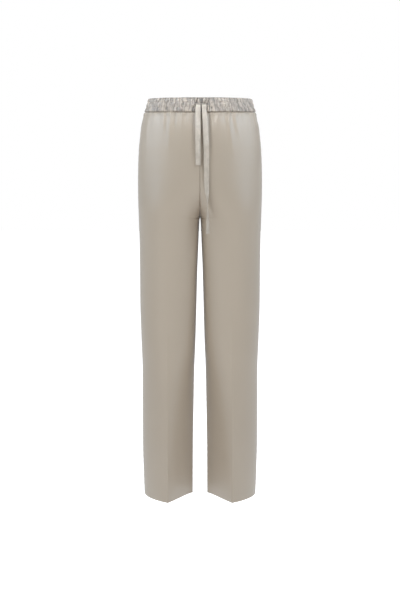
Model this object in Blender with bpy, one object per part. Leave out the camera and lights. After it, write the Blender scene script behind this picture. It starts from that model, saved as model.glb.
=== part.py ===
"""Satin drawstring trousers in their worn shape: an open waist, two open legs, nothing inside.

Four leg panels meet at the side seams, the inseams and the crotch seam, with a gathered waistband above
them and the two ends of a flat tie hanging from it. X is to the wearer's left, Y to the wearer's back
and Z up. The origin is the middle of the waist, at half the height of the waistband.
Tables are in millimetres, and MM turns them into metres.
"""

import math
from collections import namedtuple

import bmesh
import bpy
from mathutils import Matrix, Vector

MM = 0.001

# Driving dimensions, in millimetres
CLOTH_THICK = 1.4
SEAM_GAP = 0.3
SEAM_HEIGHT = -17.4
CROTCH_HEIGHT = -289.0
HEM_HEIGHT = -1035.0

# Colour and roughness of the cloth
SATIN = (0.40, 0.35, 0.285, 1.0), 0.42
TIE_SATIN = (0.58, 0.53, 0.46, 1.0), 0.4
SHARP_ANGLE = 50.0

# The body and leg sections. side and inner are the X of the side seam and of the leg's inner side; above
# the crotch inner is negative, because there the two legs run together and meet at the centre seam.
# front and back are the depths before and behind the side seam. bend, close_out and close_in shape the
# curve: an ellipse with all three at 2, and a sharper front and back crease as they near 1.
Section = namedtuple("Section", "height side inner front back bend close_out close_in")
SECTIONS = [
    Section(-17, 140.8, -140.8, 95.6, 94.4, 2.1, 2.0, 2.0),
    Section(-37, 148.0, -148.0, 101.5, 102.0, 2.15, 2.0, 2.0),
    Section(-55, 152.8, -152.8, 105.0, 107.0, 2.2, 2.0, 2.0),
    Section(-83, 156.3, -156.3, 108.0, 113.0, 2.35, 2.0, 2.0),
    Section(-114, 159.3, -158.0, 110.0, 120.0, 2.5, 2.0, 2.0),
    Section(-165, 161.5, -136.0, 111.5, 129.0, 2.6, 2.0, 2.2),
    Section(-199, 162.0, -96.0, 112.0, 132.0, 2.5, 2.0, 2.6),
    Section(-229, 162.0, -54.0, 111.5, 131.5, 2.35, 2.0, 3.2),
    Section(-249, 161.6, -30.0, 110.5, 129.5, 2.25, 2.0, 3.6),
    Section(-269, 161.1, -11.0, 109.5, 127.0, 2.2, 2.0, 4.0),
    Section(-289, 160.5, 0.4, 108.0, 124.0, 2.15, 2.0, 4.0),
    Section(-349, 159.0, 3.7, 104.0, 114.0, 2.15, 2.0, 4.0),
    Section(-428, 158.4, 7.1, 101.0, 106.0, 2.15, 2.0, 3.6),
    Section(-508, 158.2, 9.2, 98.0, 100.0, 2.15, 2.0, 3.2),
    Section(-616, 155.6, 12.1, 94.5, 95.5, 2.05, 1.95, 2.6),
    Section(-697, 153.2, 15.2, 92.5, 93.5, 1.8, 1.8, 1.8),
    Section(-779, 153.7, 16.5, 92.0, 92.5, 1.6, 1.75, 1.4),
    Section(-889, 154.0, 18.1, 92.5, 93.0, 1.42, 1.75, 1.15),
    Section(-1000, 151.6, 19.0, 92.5, 93.0, 1.25, 1.8, 0.9),
    Section(-1035, 150.3, 19.6, 92.5, 93.0, 1.2, 1.8, 0.8),
]
SECTION_STEPS = 120

# The rows of a panel below its seam, and how many columns each stretch of rows has.
GATHER_DROPS = [0, 6, 14, 25, 40, 60]
HIP_HEIGHTS = [-100, -130, -165]
# The crotch seam is a U from front to back, so its rows crowd together at the bottom.
SEAT_HEIGHTS = [-190, -215, -238, -256, -269, -277, -282, -285, -287, CROTCH_HEIGHT]
LEG_HEIGHTS = [-305, -345, -395, -450, -510, -575, -640, -705, -779, -860, -945, HEM_HEIGHT]
GATHER_COLUMNS = 40
HIP_COLUMNS = 20
LEG_COLUMNS = 12

# The waist seam dips at the front.
FRONT_DIP = 1.5
DIP_REACH = 70.0

# Small gathers along the waist seam of each panel. Slow waves across the panel make them uneven: WANDER
# in where they stand, in gathers, SIZE in how high they are and REACH in how far down they go.
GATHERS_PER_PANEL = 10
GATHER_HEIGHT = 2.0
GATHER_REACH = 46.0
WANDER, WANDER_WAVES = 0.22, 2.2
SIZE, SIZE_WAVES = 0.25, 3.7
REACH, REACH_WAVES = 0.35, 4.9
PHASES = {"front_left": 0.4, "front_right": 2.1, "back_left": 3.3, "back_right": 5.0}

# Soft folds that hang from the waist seam. at is the distance from the centre seam along the cloth,
# lean how far the fold moves towards the side for each millimetre down.
Fold = namedtuple("Fold", "panel at lean reach width height")
FOLDS = [
    Fold("front_right", 76, 0.05, 125, 17, 3.4),
    Fold("front_right", 94, 0.02, 70, 12, 2.0),
    Fold("front_right", 47, -0.03, 60, 12, 1.7),
    Fold("front_right", 128, 0.04, 55, 13, 1.5),
    Fold("front_left", 74, 0.04, 120, 16, 3.2),
    Fold("front_left", 92, 0.08, 80, 12, 2.4),
    Fold("front_left", 52, -0.02, 50, 12, 1.6),
    Fold("front_left", 132, 0.03, 60, 13, 1.5),
    Fold("back_right", 66, 0.03, 110, 17, 3.0),
    Fold("back_right", 112, 0.04, 70, 14, 2.0),
    Fold("back_left", 70, 0.05, 105, 17, 3.0),
    Fold("back_left", 106, 0.02, 75, 14, 2.1),
]

# The waistband's outer face, top to bottom: two rows of stitching part it into three puffed channels.
# side, front and back are its size in the hollows between the gathers, and ridge the gathers' height.
Band = namedtuple("Band", "height side front back ridge")
BAND = [
    Band(16.6, 131.2, 88.8, 87.0, 1.7),
    Band(12.6, 132.9, 90.4, 88.6, 2.1),
    Band(7.0, 134.1, 91.2, 89.4, 1.5),
    Band(0.8, 136.9, 93.6, 91.8, 2.3),
    Band(-5.5, 138.0, 94.1, 92.5, 1.5),
    Band(-11.4, 140.6, 96.3, 94.9, 2.3),
    Band(-17.4, 141.2, 96.7, 95.3, 1.6),
]
BAND_THICK = 4.0
BAND_TOP = 17.6
BAND_GATHERS = 84
COLUMNS_PER_GATHER = 3
BAND_WANDER, BAND_WANDER_WAVES = 0.3, 9
BAND_LEAN, BAND_LEAN_WAVES, BAND_LEAN_DROP = 0.08, 6, 5.0
BAND_SIZE, BAND_SIZE_WAVES, BAND_SIZE_DROP = 0.2, 13, 9.0
HOLE_CHANNEL = BAND[3]

# The flat tie. Its ends come out of two buttonholes in the waistband's outer layer.
TIE_THICK = 1.2
HOLE_WIDTH = 13.2
HOLE_TALL = 3.2
HOLE_DEPTH = 3.9
HOLE_HEIGHT = 1.0
CURVE_STEPS = 4

# Each end's route down its middle. wide is its width there, and turn the angle in degrees that it faces
# away from the front.
Tie = namedtuple("Tie", "x y z wide turn")
TIE_RIGHT = [
    Tie(-4.8, -92.3, 1.0, 12.0, 0),
    Tie(-4.8, -98.0, 0.9, 12.0, 0),
    Tie(-4.8, -101.0, -2.0, 12.2, 0),
    Tie(-4.8, -102.0, -9.0, 12.6, 0),
    Tie(-4.9, -103.2, -22.0, 12.8, 2),
    Tie(-5.0, -109.0, -60.0, 12.8, 4),
    Tie(-5.2, -112.6, -104.0, 12.6, -5),
    Tie(-4.8, -114.0, -130.0, 12.4, 8),
    Tie(-4.4, -114.4, -152.0, 12.2, 4),
]
TIE_LEFT = [
    Tie(9.7, -92.3, 1.0, 10.5, 0),
    Tie(9.7, -98.0, 0.9, 10.5, 0),
    Tie(9.8, -101.6, -2.0, 10.6, -3),
    Tie(10.0, -103.4, -9.0, 11.0, -7),
    Tie(11.2, -105.2, -25.0, 12.0, -10),
    Tie(14.2, -111.0, -70.0, 12.8, -8),
    Tie(16.0, -114.2, -115.0, 13.2, 0),
    Tie(16.7, -115.4, -165.0, 13.2, 6),
    Tie(17.4, -115.6, -212.0, 12.6, 22),
    Tie(18.6, -115.8, -250.0, 12.2, 80),
    Tie(19.6, -116.0, -285.0, 12.2, 140),
    Tie(19.4, -116.0, -324.0, 12.2, 168),
]


def smooth_between(heights, values, height):
    """Read a table column at a height, on a curve through its rows that never overshoots them."""
    if height >= heights[0]:
        return values[0]
    if height <= heights[-1]:
        return values[-1]
    slopes = [
        (values[k + 1] - values[k]) / (heights[k + 1] - heights[k]) for k in range(len(heights) - 1)
    ]

    def tangent(k):
        if k == 0 or k == len(heights) - 1:
            return slopes[min(k, len(slopes) - 1)]
        before, after = slopes[k - 1], slopes[k]
        return 0.0 if before * after <= 0 else 2 * before * after / (before + after)

    k = next(i for i in range(len(slopes)) if height >= heights[i + 1])
    step = heights[k + 1] - heights[k]
    s = (height - heights[k]) / step
    start = (1 + 2 * s) * (1 - s) ** 2 * values[k] + s * (1 - s) ** 2 * step * tangent(k)
    end = s * s * (3 - 2 * s) * values[k + 1] + s * s * (s - 1) * step * tangent(k + 1)
    return start + end


def section_at(height):
    """The body or leg section at a height."""
    heights = [row.height for row in SECTIONS]
    columns = [
        smooth_between(heights, [getattr(row, name) for row in SECTIONS], height)
        for name in Section._fields[1:]
    ]
    return Section(height, *columns)


def fade(share):
    """From 1 at 0 down to 0 at 1, level at both ends."""
    share = min(max(share, 0.0), 1.0)
    return 0.5 + 0.5 * math.cos(math.pi * share)


def ridges(turns):
    """A row of rounded ridges, one to a turn, from 0 in the hollows to 1 on top."""
    return 0.5 - 0.5 * math.cos(2 * math.pi * turns)


def section_curve(section, depth):
    """One panel's section, from its centre seam or inseam round the crease to its side seam."""
    centre = (section.side + section.inner) / 2
    half = (section.side - section.inner) / 2
    first = math.acos(min(1.0, (centre - SEAM_GAP / 2) / half))
    points = []
    for k in range(SECTION_STEPS + 1):
        angle = first + (math.pi - first) * k / SECTION_STEPS
        off_crease = abs(math.cos(angle))
        close = section.close_in if angle < math.pi / 2 else section.close_out
        y = depth * max(0.0, 1 - off_crease**section.bend) ** (1 / close)
        points.append(Vector((centre - half * math.cos(angle), -max(y, SEAM_GAP / 2), 0)))
    return points


def lengths_along(points):
    """The distance along a line of points, at each point."""
    along = [0.0]
    for before, after in zip(points, points[1:]):
        along.append(along[-1] + (after - before).length)
    return along


def point_along(points, along, distance):
    """The point and the direction of a line of points at a distance along it."""
    k = 0
    while k < len(points) - 2 and along[k + 1] < distance:
        k += 1
    share = (distance - along[k]) / max(along[k + 1] - along[k], 1e-9)
    return points[k].lerp(points[k + 1], share), (points[k + 1] - points[k]).normalized()


def gather_out(name, share, drop):
    """How far the small gathers push the cloth out, at a share of the way across a panel."""
    turn, phase = 2 * math.pi * share, PHASES[name]
    wander = WANDER * math.sin(turn / 2) * math.sin(WANDER_WAVES * turn + phase)
    size = 1 - SIZE + SIZE * math.sin(SIZE_WAVES * turn + 2 * phase)
    reach = GATHER_REACH * (1 + REACH * math.sin(REACH_WAVES * turn + phase))
    return GATHER_HEIGHT * size * ridges(GATHERS_PER_PANEL * share + wander) * fade(drop / reach)


def front_dip(forward):
    """How much lower the waist seam is, from 0 at the side seam (forward 0) to the middle of the front."""
    return FRONT_DIP * min(forward, 0.0) ** 2


def fold_out(name, distance, drop):
    """How far the soft folds push the cloth out, at a distance along a section."""
    out = 0.0
    for fold in FOLDS:
        if fold.panel == name and drop < fold.reach:
            off = (distance - fold.at - fold.lean * drop) / (fold.width / 2)
            out += fold.height * math.exp(-off * off) * fade(drop / fold.reach)
    return out


def panel_row(name, height, columns):
    """The outer points of one row of a panel, in metres, from its centre or inseam to its side seam."""
    section = section_at(height)
    is_back = name.startswith("back")
    points = section_curve(section, section.back if is_back else section.front)
    along = lengths_along(points)
    leg = section_at(min(height, CROTCH_HEIGHT))
    crease_x = (leg.side + leg.inner) / 2
    after = next(k for k, point in enumerate(points) if point.x >= crease_x)
    before = points[after - 1]
    past = (crease_x - before.x) / (points[after].x - before.x)
    to_crease = along[after - 1] + (along[after] - along[after - 1]) * past
    drop = SEAM_HEIGHT - height
    row = []
    for column in range(columns + 1):
        share = column / columns
        if share <= 0.5:
            distance = to_crease * share * 2
        else:
            distance = to_crease + (along[-1] - to_crease) * (share * 2 - 1)
        point, direction = point_along(points, along, distance)
        outwards = Vector((direction.y, -direction.x, 0))
        out = gather_out(name, share, drop)
        if 0 < column < columns:
            out += fold_out(name, distance, drop)
        point = point + outwards * out
        dip = 0.0 if is_back else front_dip(point.y / section.front) * fade(drop / DIP_REACH)
        side_way = -1 if name.endswith("right") else 1
        back_way = -1 if is_back else 1
        row.append(Vector((side_way * point.x, back_way * point.y, height - dip)) * MM)
    return row


def bridge_rows(mesh, upper, lower, facing):
    """Faces between two rows of vertices, which may differ in number, turned to face outwards."""
    i = j = 0
    while i < len(upper) - 1 or j < len(lower) - 1:
        next_upper = (i + 1) / (len(upper) - 1)
        next_lower = (j + 1) / (len(lower) - 1)
        if math.isclose(next_upper, next_lower):
            corners = [upper[i], lower[j], lower[j + 1], upper[i + 1]]
            i, j = i + 1, j + 1
        elif next_upper < next_lower:
            corners = [upper[i], lower[j], upper[i + 1]]
            i += 1
        else:
            corners = [upper[i], lower[j], lower[j + 1]]
            j += 1
        mesh.faces.new(corners if facing > 0 else corners[::-1])


def give_thickness(mesh, thickness, turn_normal):
    """Turn an open skin into a closed wall, inwards. turn_normal lays a rim in the plane of its seam."""
    mesh.normal_update()
    skin = list(mesh.faces)
    rim = [edge.link_loops[0] for edge in mesh.edges if edge.is_boundary]
    inner = {}
    for vert in list(mesh.verts):
        inner[vert] = mesh.verts.new(vert.co - turn_normal(vert) * thickness)
    for face in skin:
        mesh.faces.new([inner[vert] for vert in reversed(face.verts)])
    for loop in rim:
        start, end = loop.vert, loop.link_loop_next.vert
        mesh.faces.new([end, start, inner[start], inner[end]])


def make_panel(name):
    """One leg panel, from the waistband to the hem, as a wall of cloth."""
    stretches = [
        ([SEAM_HEIGHT - SEAM_GAP - drop for drop in GATHER_DROPS], GATHER_COLUMNS),
        (HIP_HEIGHTS, HIP_COLUMNS),
        (SEAT_HEIGHTS + LEG_HEIGHTS, LEG_COLUMNS),
    ]
    facing = 1 if name in ("front_left", "back_right") else -1
    mesh = bmesh.new()
    rows = []
    for heights, columns in stretches:
        for height in heights:
            points = panel_row(name, height, columns)
            rows.append([mesh.verts.new(point) for point in points])
    for upper, lower in zip(rows, rows[1:]):
        bridge_rows(mesh, upper, lower, facing)

    inseam = {row[0] for row in rows if row[0].co.z <= (CROTCH_HEIGHT + SEAM_GAP) * MM}
    centre_seam = {row[0] for row in rows} - inseam
    side_seam = {row[-1] for row in rows}
    level_edges = set(rows[0]) | set(rows[-1])

    def turn_normal(vert):
        normal = vert.normal.copy()
        if vert in centre_seam and normal.x * vert.co.x > 0:
            normal.x = 0
        if vert in side_seam or vert in inseam:
            normal.y = 0
        if vert in level_edges:
            normal.z = 0
        return normal.normalized()

    give_thickness(mesh, CLOTH_THICK * MM, turn_normal)
    return finish_object(name, mesh, *SATIN)


def band_ring(row, sink, lift, columns):
    """One ring of the waistband, sunk inwards from its hollows or raised by its gathers."""
    section = SECTIONS[0]._replace(side=row.side, inner=-row.side)
    quarter_front = section_curve(section, row.front)
    quarter_back = section_curve(section, row.back)
    loop = [Vector((point.x, point.y, 0)) for point in quarter_front]
    loop += [Vector((point.x, -point.y, 0)) for point in reversed(quarter_back)]
    loop += [Vector((-point.x, -point.y, 0)) for point in quarter_back]
    loop += [Vector((-point.x, point.y, 0)) for point in reversed(quarter_front)]
    loop.append(loop[0])
    along = lengths_along(loop)
    ring = []
    for column in range(columns):
        share = column / columns
        point, direction = point_along(loop, along, along[-1] * share)
        outwards = Vector((direction.y, -direction.x, 0))
        turn = 2 * math.pi * share
        wander = BAND_WANDER * math.sin(BAND_WANDER_WAVES * turn)
        lean = BAND_LEAN * math.sin(BAND_LEAN_WAVES * turn + row.height / BAND_LEAN_DROP)
        size = 1 - BAND_SIZE + BAND_SIZE * math.sin(BAND_SIZE_WAVES * turn + row.height / BAND_SIZE_DROP)
        out = lift * row.ridge * size * ridges(BAND_GATHERS * share + wander + lean) - sink
        dip = front_dip(point.y / row.front) * (BAND_TOP - row.height) / (BAND_TOP - SEAM_HEIGHT)
        ring.append((point + outwards * out + Vector((0, 0, row.height - dip))) * MM)
    return ring


def skin_rings(mesh, rings, closed_along):
    """Quads between closed rings of points. The first and last are joined, or else capped."""
    loops = [[mesh.verts.new(point) for point in ring] for ring in rings]
    pairs = list(zip(loops, loops[1:]))
    if closed_along:
        pairs.append((loops[-1], loops[0]))
    for first, second in pairs:
        for k in range(len(first)):
            after = (k + 1) % len(first)
            mesh.faces.new([first[k], second[k], second[after], first[after]])
    if not closed_along:
        mesh.faces.new(loops[0])
        mesh.faces.new(reversed(loops[-1]))


def make_waistband():
    """The elastic waistband: one gathered ring, with two buttonholes in its outer layer."""
    columns = BAND_GATHERS * COLUMNS_PER_GATHER
    rings = [band_ring(row, 0.0, 1.0, columns) for row in BAND]
    bottom, top = BAND[-1], BAND[0]
    rings.append(band_ring(bottom, BAND_THICK, 0.0, columns))
    rings.append(band_ring(top._replace(height=BAND_TOP), BAND_THICK, 0.0, columns))
    mesh = bmesh.new()
    skin_rings(mesh, rings, closed_along=True)
    band = finish_object("waistband", mesh, *SATIN)
    cut_buttonhole(band, "buttonhole_right", TIE_RIGHT[0].x)
    cut_buttonhole(band, "buttonhole_left", TIE_LEFT[0].x)
    return band


def cut_buttonhole(band, name, x):
    """Cut a blind slot in the front of the waistband, where one end of the tie comes out."""
    face = HOLE_CHANNEL.front + HOLE_CHANNEL.ridge
    middle = Vector((x, -face, HOLE_HEIGHT)) * MM
    size = Vector((HOLE_WIDTH, 2 * HOLE_DEPTH, HOLE_TALL)) * MM
    mesh = bmesh.new()
    placed = Matrix.Translation(middle) @ Matrix.Diagonal((*size, 1))
    bmesh.ops.create_cube(mesh, size=1.0, matrix=placed)
    data = bpy.data.meshes.new(name)
    mesh.to_mesh(data)
    mesh.free()
    cutter = bpy.data.objects.new(name, data)
    cutters.objects.link(cutter)
    cutter.hide_render = True
    cutter.display_type = "WIRE"
    cut = band.modifiers.new(name, "BOOLEAN")
    cut.operation = "DIFFERENCE"
    cut.object = cutter


def curve_through(route):
    """A smooth curve through a tie's stations, with a few points between each two of them."""
    stations = [Vector(station) for station in route]
    stations = [stations[0]] + stations + [stations[-1]]
    curve = []
    for a, b, c, d in zip(stations, stations[1:], stations[2:], stations[3:]):
        for step in range(CURVE_STEPS):
            s = step / CURVE_STEPS
            square, cube = 2 * a - 5 * b + 4 * c - d, 3 * b - a - 3 * c + d
            curve.append((2 * b + (c - a) * s + square * s**2 + cube * s**3) / 2)
    return curve + [stations[-1]]


def make_tie(name, route):
    """One end of the flat tie: a strip of double satin that comes out of its buttonhole and hangs."""
    stations = curve_through(route)
    rings = []
    for k, station in enumerate(stations):
        before, after = stations[max(k - 1, 0)], stations[min(k + 1, len(stations) - 1)]
        direction = (after.to_3d() - before.to_3d()).normalized()
        wide, turn = station[3], station[4]
        turned = Matrix.Rotation(math.radians(turn), 3, direction)
        across = turned @ Vector((1, 0, 0))
        across = (across - direction * across.dot(direction)).normalized()
        through = across.cross(direction)
        half_across = across * wide / 2
        half_through = through * TIE_THICK / 2
        corners = [(-1, -1), (1, -1), (1, 1), (-1, 1)]
        middle = station.to_3d()
        rings.append([(middle + half_across * i + half_through * j) * MM for i, j in corners])
    mesh = bmesh.new()
    skin_rings(mesh, rings, closed_along=False)
    return finish_object(name, mesh, *TIE_SATIN)


def finish_object(name, mesh, colour, roughness):
    """Put a finished mesh in the scene as one named piece with its own cloth."""
    bmesh.ops.recalc_face_normals(mesh, faces=mesh.faces)
    data = bpy.data.meshes.new(name)
    mesh.to_mesh(data)
    mesh.free()
    data.shade_smooth()
    data.set_sharp_from_angle(angle=math.radians(SHARP_ANGLE))
    cloth = bpy.data.materials.new(f"{name}_cloth")
    cloth.use_nodes = True
    cloth.diffuse_color = colour
    shader = cloth.node_tree.nodes["Principled BSDF"]
    shader.inputs["Base Color"].default_value = colour
    shader.inputs["Roughness"].default_value = roughness
    shader.inputs["Metallic"].default_value = 0.0
    data.materials.append(cloth)
    made = bpy.data.objects.new(name, data)
    trousers.objects.link(made)
    return made


for old in list(bpy.data.objects):
    bpy.data.objects.remove(old)
trousers = bpy.data.collections.new("drawstring_trousers")
cutters = bpy.data.collections.new("cutters")
bpy.context.scene.collection.children.link(trousers)
bpy.context.scene.collection.children.link(cutters)

for panel in PHASES:
    make_panel(panel)
make_waistband()
make_tie("tie_end_right", TIE_RIGHT)
make_tie("tie_end_left", TIE_LEFT)
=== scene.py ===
import math
from collections import namedtuple

import bmesh
import bpy
import numpy as np
from mathutils import Matrix, Vector


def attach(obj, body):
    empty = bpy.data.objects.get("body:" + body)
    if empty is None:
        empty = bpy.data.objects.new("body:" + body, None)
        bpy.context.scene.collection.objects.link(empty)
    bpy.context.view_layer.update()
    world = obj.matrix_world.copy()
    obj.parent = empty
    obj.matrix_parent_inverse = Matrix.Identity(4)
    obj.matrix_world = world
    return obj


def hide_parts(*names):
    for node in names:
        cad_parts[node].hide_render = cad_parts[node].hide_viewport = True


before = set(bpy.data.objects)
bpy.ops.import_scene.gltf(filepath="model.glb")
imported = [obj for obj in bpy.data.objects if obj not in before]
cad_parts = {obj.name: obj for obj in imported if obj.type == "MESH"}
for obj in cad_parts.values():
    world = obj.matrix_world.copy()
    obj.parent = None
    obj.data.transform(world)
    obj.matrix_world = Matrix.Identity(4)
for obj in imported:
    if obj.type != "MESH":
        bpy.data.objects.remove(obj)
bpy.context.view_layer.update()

# Satin drawstring trousers in their worn shape. X is to the wearer's left, Y to the wearer's back and Z
# up, and the origin is the middle of the waist. Tables are in millimetres, and MM turns them into metres.
MM = 0.001

# The studio: a white surround, a wide low softbox behind the camera, two low fills without shine, two
# high softboxes and a narrow strip in front, one at each hip and one above the back. The camera stands
# three metres away, a little below the waist, and looks slightly down.
CAMERA_PLACE = Vector((0, -3.0, -0.111))
CAMERA_AIM = Vector((0, 0, -0.5085))
CAMERA_LENS = 68.5
SURROUND_SEEN = 1.0
SURROUND_LIGHT = 0.3

eye = bpy.data.objects.new("camera", bpy.data.cameras.new("camera"))
eye.location = CAMERA_PLACE
eye.rotation_euler = (CAMERA_AIM - CAMERA_PLACE).to_track_quat("-Z", "Y").to_euler()
eye.data.lens = CAMERA_LENS
eye.data.dof.use_dof = False
bpy.context.scene.collection.objects.link(eye)
bpy.context.scene.camera = eye
bpy.context.scene.view_settings.view_transform = "Standard"

Softbox = namedtuple("Softbox", "name place aim wide tall watts colour spread shines", defaults=[180, True])
SOFTBOXES = [
    Softbox("front_light", (-0.5, -3.7, -0.85), (0, 0, -0.7), 4.8, 1.0, 11.8, (1.0, 0.98, 0.9)),
    Softbox("left_fill", (1.7, -2.1, -0.8), (0, 0, -0.75), 1.0, 0.8, 5, (1.0, 0.97, 0.92), 180, False),
    Softbox("right_fill", (-1.7, -2.1, -0.8), (0, 0, -0.75), 1.0, 0.8, 5, (1.0, 0.97, 0.92), 180, False),
    Softbox("high_left_light", (1.4, -1.15, 1.2), (0, 0, -0.05), 1.2, 0.8, 16, (0.81, 0.905, 1.0)),
    Softbox("high_right_light", (-1.4, -1.15, 1.2), (0, 0, -0.05), 1.2, 0.8, 16, (0.81, 0.905, 1.0)),
    Softbox("strip_light", (0, -2.1, 1.1), (0, 0, 0.16), 1.6, 0.12, 1.1, (0.94, 0.97, 1.0), 16),
    Softbox("left_hip_light", (1.4, -0.3, 0.5), (0, 0, -0.08), 1.6, 1.0, 10, (0.66, 0.82, 1.0)),
    Softbox("right_hip_light", (-1.4, -0.3, 0.5), (0, 0, -0.08), 1.6, 1.0, 10, (0.66, 0.82, 1.0)),
    Softbox("back_light", (0, 2.4, 1.4), (0, 0, -0.4), 2.4, 1.6, 26, (0.95, 0.98, 1.0)),
]
for box in SOFTBOXES:
    light = bpy.data.objects.new(box.name, bpy.data.lights.new(box.name, "AREA"))
    light.data.shape = "RECTANGLE"
    light.data.size = box.wide
    light.data.size_y = box.tall
    light.data.energy = box.watts
    light.data.color = box.colour
    light.data.spread = math.radians(box.spread)
    light.location = box.place
    light.rotation_euler = (Vector(box.aim) - Vector(box.place)).to_track_quat("-Z", "Y").to_euler()
    light.visible_camera = False
    light.visible_glossy = box.shines
    bpy.context.scene.collection.objects.link(light)


class Wire:
    """One value in a material's nodes. Sums written with it add their own nodes."""

    def __init__(self, socket):
        self.socket = socket
        self.tree = socket.id_data

    @staticmethod
    def connect(tree, target, value):
        """Give a socket a value, or link it to a wire."""
        if isinstance(value, Wire):
            tree.links.new(value.socket, target)
        else:
            target.default_value = value

    @classmethod
    def node(cls, tree, kind, settings=(), inputs=(), output=0):
        """Add a node of a kind, with its settings first and then the values or wires of its sockets."""
        made = tree.nodes.new(kind)
        for name, value in dict(settings).items():
            setattr(made, name, value)
        for name, value in dict(inputs).items():
            cls.connect(tree, made.inputs[name], value)
        return cls(made.outputs[output])

    def math(self, operation, first, second=0.0):
        inputs = {0: first, 1: second}
        return self.node(self.tree, "ShaderNodeMath", {"operation": operation}, inputs)

    def __add__(self, other):
        return self.math("ADD", self, other)

    def __radd__(self, other):
        return self.math("ADD", other, self)

    def __sub__(self, other):
        return self.math("SUBTRACT", self, other)

    def __rsub__(self, other):
        return self.math("SUBTRACT", other, self)

    def __mul__(self, other):
        return self.math("MULTIPLY", self, other)

    def __rmul__(self, other):
        return self.math("MULTIPLY", other, self)

    def mix_colours(self, first, second):
        """From the first colour to the second, as this value goes from 0 to 1."""
        inputs = {0: self, 6: first, 7: second}
        return self.node(self.tree, "ShaderNodeMix", {"data_type": "RGBA"}, inputs, output=2)


def noise(tree, place, scale, detail=2.0, roughness=0.5, stretch=None):
    """A cloudy value from 0 to 1. stretch squeezes it along each axis first."""
    if stretch is not None:
        place = Wire.node(tree, "ShaderNodeVectorMath", {"operation": "MULTIPLY"}, {0: place, 1: stretch})
    inputs = {"Vector": place, "Scale": scale, "Detail": detail, "Roughness": roughness}
    return Wire.node(tree, "ShaderNodeTexNoise", {"noise_dimensions": "3D"}, inputs)


surround = bpy.data.worlds.new("white_surround")
surround.use_nodes = True
seen = Wire.node(surround.node_tree, "ShaderNodeLightPath")
strength = seen * (SURROUND_SEEN - SURROUND_LIGHT) + SURROUND_LIGHT
white = surround.node_tree.nodes["Background"]
white.inputs["Color"].default_value = (1, 1, 1, 1)
Wire.connect(surround.node_tree, white.inputs["Strength"], strength)
bpy.context.scene.world = surround


# The four leg panels: two fronts and two backs of satin, cut with the warp down the leg and sewn at the
# centre seams, side seams and inseams. They are gathered a little into the waistband, hang in soft
# folds from it, carry a crease pressed from the knee down, and end in a turned-up hem.

# Fine waves in the weave, to the metre: the warp runs down the cloth. The rest says how much the weave
# and the satin's soft patches change its height, tone and shine.
WARP_STREAK = (900.0, 24.0, 1.0)
WEFT_STREAK = (40.0, 1500.0, 1.0)
WARP_RELIEF, WEFT_RELIEF = 0.6, 0.4
WEAVE_DEPTH = 0.0002
BROAD_PATCHES = 3.2
PATCH_TONE, BROAD_TONE, WARP_TONE = 0.35, 0.35, 0.3
WARP_DULLS, PATCH_DULLS = 0.16, 0.1
SHEEN_ROUGH = 0.4
SATIN_IOR = 1.55
# How dark the painted shade goes: the deep colour scaled down this far.
PAINTED_SHADE_SCALE = 0.4


def make_satin(name, colour, deep_colour, roughness, weave=0.12, sheen=0.15, cloud=9.0, mottle=1.0):
    """Satin that reads the piece's own UV map, in metres along the cloth, and has shade painted into its
    colour where the piece's shade attribute rises to 1: painted shade between gathers, at the seams and in
    folds. cloud is how many of its soft patches go to a metre, and mottle how far they differ."""
    material = bpy.data.materials.new(name)
    material.use_nodes = True
    tree = material.node_tree
    shader = tree.nodes["Principled BSDF"]
    cloth_place = Wire.node(tree, "ShaderNodeUVMap", {"uv_map": "cloth"})
    solid_place = Wire.node(tree, "ShaderNodeTexCoord", output=3)

    warp = noise(tree, cloth_place, 1.0, 2.0, 0.6, WARP_STREAK)
    weft = noise(tree, cloth_place, 1.0, 1.0, 0.5, WEFT_STREAK)
    soft = noise(tree, solid_place, cloud, 3.0, 0.55)
    broad = noise(tree, solid_place, BROAD_PATCHES, 2.0, 0.5)
    relief = warp * WARP_RELIEF + weft * WEFT_RELIEF

    shade = (soft * PATCH_TONE + broad * BROAD_TONE + warp * WARP_TONE - 0.5) * mottle + 0.5
    cloth = shade.mix_colours((*deep_colour, 1), (*colour, 1))
    # Painted shade: the colour goes towards a darker copy of the deep colour where the piece's shade
    # attribute rises, standing in for shade in hollows, under the waistband and at the seams.
    painted_shade = Wire.node(tree, "ShaderNodeAttribute", {"attribute_name": "painted_shade"}, output=2)
    cloth = painted_shade.mix_colours(cloth, (*[part * PAINTED_SHADE_SCALE for part in deep_colour], 1))
    Wire.connect(tree, shader.inputs["Base Color"], cloth)
    dull = (warp - 0.5) * WARP_DULLS + (soft - 0.5) * PATCH_DULLS + roughness
    Wire.connect(tree, shader.inputs["Roughness"], dull)
    bump = {"Strength": weave, "Distance": WEAVE_DEPTH, "Height": relief}
    Wire.connect(tree, shader.inputs["Normal"], Wire.node(tree, "ShaderNodeBump", (), bump))
    shader.inputs["Sheen Weight"].default_value = sheen
    shader.inputs["Sheen Roughness"].default_value = SHEEN_ROUGH
    shader.inputs["IOR"].default_value = SATIN_IOR
    shader.inputs["Specular IOR Level"].default_value = 1.0
    return material


def lay_cloth(points, across, down, painted_shade=None):
    """A grid of cloth as a mesh, from its rows of points in metres. across and down are each point's
    place along the cloth for the UV map, and the last argument how much shade is painted into its colour."""
    rows, columns = len(points), len(points[0])
    mesh = bmesh.new()
    cloth = mesh.loops.layers.uv.new("cloth")
    shade_layer = None if painted_shade is None else mesh.verts.layers.float.new("painted_shade")
    bmesh.ops.create_grid(mesh, x_segments=columns - 1, y_segments=rows - 1, size=0.5)
    place = {}
    for vert in mesh.verts:
        column = round((vert.co.x + 0.5) * (columns - 1))
        row = round((0.5 - vert.co.y) * (rows - 1))
        vert.co = points[row][column]
        place[vert] = (across[row][column], down[row])
        if shade_layer is not None:
            vert[shade_layer] = painted_shade[row][column]
    for face in mesh.faces:
        for loop in face.loops:
            loop[cloth].uv = place[loop.vert]
    return mesh


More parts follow.
